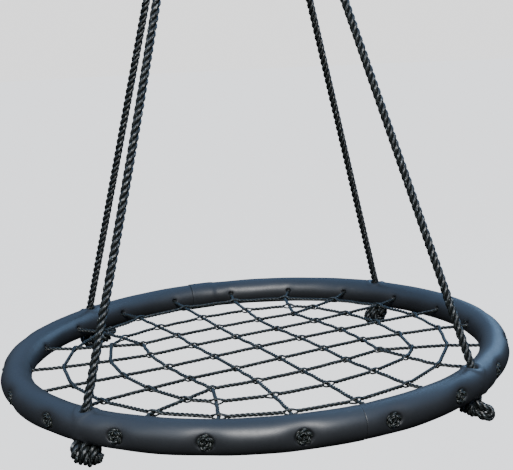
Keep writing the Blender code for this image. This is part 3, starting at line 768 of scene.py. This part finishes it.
def build_net(surface):
    """Columns run through the opened strands of the rows, and both through those of the ring cords."""
    holes = {(row, crossing): hole for hole, row, crossing in cord_ends()}
    inside = HOOP_RADIUS - COVER_RADIUS + HOOP_GAP
    for row, title in ((True, "row"), (False, "column")):
        for k in range(-GRID_REACH, GRID_REACH + 1):
            line = [(m, k) if row else (k, m) for m in range(-GRID_REACH, GRID_REACH + 1)]
            middle = [grid_point(*crossing) for crossing in line]
            first, last = holes[row, line[0]], holes[row, line[-1]]
            knots = [hoop_point(first, inside), border_point(first), inner_point(first, line[0]), *middle,
                     inner_point(last, line[-1]), border_point(last), hoop_point(last, inside)]
            openings = []
            if row:
                openings = [(spot, GRID_OPENINGS[(2 * i + k) % 3 == 0]) for i, spot in enumerate(middle)]
            part = twisted(kinked(knots), CORD_RADIUS, CORD_LAY, UP, CORD_STEP, openings=openings,
                           start=k * 1.7 + row, **CORD_SKIN)
            number = k + GRID_REACH + 1
            add(f"cord_{title}_{number}", part, surface, "seat", [f"net_{title}_{number}"])
    borders = [border_point(hole) for hole, _, _ in cord_ends()]
    inners = [inner_point(hole, crossing) for hole, _, crossing in cord_ends()]
    for name, points, node in (("cord_border", borders, "net_border"),
                               ("cord_inner_ring", inners, "net_inner_ring")):
        part = twisted(kinked(points, True), CORD_RADIUS, CORD_LAY, UP, CORD_STEP, closed=True,
                       openings=[(spot, RING_OPENING) for spot in points], **CORD_SKIN)
        add(name, part, surface, "seat", [node])


def build_roses(surface):
    """The coiled knot at each lacing hole, sunk in the foam's outer face, with its cut end in the middle."""
    for i in range(LACING_COUNT):
        angle = i * LACING_STEP
        outward = Vector((math.cos(angle), math.sin(angle), 0))
        twist = 2.4 * i + 0.5
        sideways = UP.cross(outward)
        across = sideways * math.cos(twist) + UP * math.sin(twist)
        second = outward.cross(across)
        centre = outward * (HOOP_RADIUS + COVER_RADIUS - ROSE_SINK) + UP * HOOP_HEIGHT
        shape = torus_knot(5, ROSE_RADIUS, ROSE_LOBE, ROSE_DEPTH)
        line = placed(shape, centre, across, second, outward)
        parts = [twisted(line, TIGHT_CORD_RADIUS, CORD_LAY * 0.7, outward, CORD_STEP * 0.7, closed=True,
                         start=i, **CORD_SKIN)]
        stub = [centre - outward * 0.004, centre + outward * 0.002 + across * 0.0004,
                centre + outward * 0.0062 + across * 0.0012]
        parts.append(twisted(stub, TIGHT_CORD_RADIUS * 0.8, CORD_LAY * 0.5, across, 0.0016, 8))
        add(f"rose_knot_{i + 1:02d}", joined(parts), surface, "seat")


def build_frays(surface):
    """Loose fibres where a lacing cord's lay has opened at its hole."""
    for hole, count, length in FRAYS:
        root = hoop_point(hole, HOOP_RADIUS - COVER_RADIUS - 0.003) + UP * HOLE_RISE
        outward = (root - UP * root.z).normalized()
        sideways = UP.cross(outward)
        parts = []
        for i in range(count):
            lean = math.sin(2.3 * i + hole)
            reach = length * (0.75 + 0.25 * math.cos(3.1 * i))
            tip = root + (UP * 0.9 + sideways * 0.7 * lean - outward * 0.35 * math.cos(1.7 * i)) * reach
            middle = root.lerp(tip, 0.5) + sideways * 0.0015 * math.sin(4.1 * i) - outward * 0.001
            line = resample(smooth_route([root, middle, tip], 6), 0.0012)
            facing = np.tile(tuple(sideways), (len(line), 1)) + 0.1
            parts.append(tube(line, facing, np.full(len(line), FRAY_RADIUS), 6))
        add(f"loose_fibres_{hole}", joined(parts), surface, "seat")


# ---------------------------------------------------------------- floor and light
def area_light(name, place, size, power, colour):
    data = bpy.data.lights.new(name, "AREA")
    data.shape = "DISK"
    data.size = size
    data.energy = power
    data.color = colour
    made = bpy.data.objects.new(name, data)
    made.location = place
    made.rotation_euler = (Vector((0, 0, HOOP_HEIGHT)) - made.location).to_track_quat("-Z", "Y").to_euler()
    bpy.context.scene.collection.objects.link(made)


def build_studio():
    """A pale floor under the swing, a soft cool dome, a warm key light, a weak fill and a cool rim light."""
    bpy.ops.mesh.primitive_circle_add(vertices=96, radius=30, fill_type="NGON", location=(0, 0, FLOOR_HEIGHT))
    floor = bpy.context.object
    floor.name = "floor"
    made, tree, shader = new_surface("floor_paper")
    shader.inputs["Base Color"].default_value = (0.10, 0.10, 0.10, 1)
    shader.inputs["Roughness"].default_value = 0.9
    shader.inputs["Emission Color"].default_value = (1, 1, 1, 1)
    shader.inputs["Emission Strength"].default_value = 1.6
    floor.data.materials.append(made)
    floor.visible_diffuse = False
    floor.visible_glossy = False

    world = bpy.data.worlds.new("dome")
    world.use_nodes = True
    bpy.context.scene.world = world
    tree = world.node_tree
    background = tree.nodes["Background"]
    direction = put(tree, "TexCoord").outputs["Generated"]
    height = put(tree, "SeparateXYZ", {0: direction}).outputs[2]
    sky = ramp(tree, maths(tree, "MULTIPLY_ADD", height, 0.5, 0.5),
               [(0.0, (0.02, 0.02, 0.02)), (0.50, (0.04, 0.04, 0.04)), (0.62, (0.17, 0.20, 0.25)),
                (0.78, (0.38, 0.68, 1.20)), (1.0, (0.46, 0.82, 1.45))])
    seen = put(tree, "LightPath").outputs["Is Camera Ray"]
    tree.links.new(mixed(tree, seen, sky, (1.68, 1.68, 1.69, 1)), background.inputs["Color"])
    background.inputs["Strength"].default_value = 1.0

    area_light("key", (-0.45, -3.05, HOOP_HEIGHT + 2.55), 1.3, 250, (1.0, 0.98, 0.95))
    area_light("fill", (-2.4, -1.8, HOOP_HEIGHT + 1.3), 1.6, 12, (0.9, 0.95, 1.0))
    area_light("rim", (2.2, 2.0, HOOP_HEIGHT + 1.5), 2.2, 40, (0.36, 0.62, 1.0))


# ---------------------------------------------------------------- assembly
def paint_fittings(steel, alloy, tube_steel):
    """Give each CAD fitting that stays its own metal."""
    for name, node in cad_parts.items():
        if node.hide_render:
            continue
        surface = alloy if name.startswith("ferrule") else tube_steel if name == "hoop_tube" else steel
        node.data.materials.clear()
        node.data.materials.append(surface)


def build():
    make_camera()
    # Rope colours: the fibre's black, the pale of the painted highlight on the crowns, and the colour of the
    # painted glints.
    rope = rope_surface("hanging_rope", (0.0042, 0.0053, 0.0050), (0.019, 0.0225, 0.021), (0.46, 0.51, 0.50),
                        5, YARN_LAY * ROPE_LAY, 0.30)
    cord = rope_surface("net_cord", (0.0052, 0.0066, 0.0056), (0.020, 0.024, 0.0205), (0.29, 0.32, 0.28),
                        4, YARN_LAY * CORD_LAY, 0.28)
    foam = foam_surface()
    steel = metal_surface("galvanised_steel", (0.36, 0.37, 0.38), (0.60, 0.61, 0.62), 260.0, 0.28, 0.55, 0.3)
    alloy = metal_surface("pressed_alloy", (0.46, 0.46, 0.47), (0.68, 0.68, 0.69), 420.0, 0.32, 0.6, 0.35)
    tube_steel = metal_surface("painted_tube", (0.05, 0.05, 0.05), (0.09, 0.09, 0.09), 300.0, 0.4, 0.7, 0.3)
    for side, name in ((-1, "left"), (1, "right")):
        build_rope(side, name, rope)
    build_stopper_knots(rope)
    build_cover("cover_left", SEAM_ANGLE, foam)
    build_cover("cover_right", SEAM_ANGLE + math.pi, foam)
    build_net(cord)
    build_roses(cord)
    build_frays(cord)
    paint_fittings(steel, alloy, tube_steel)
    build_studio()


build()
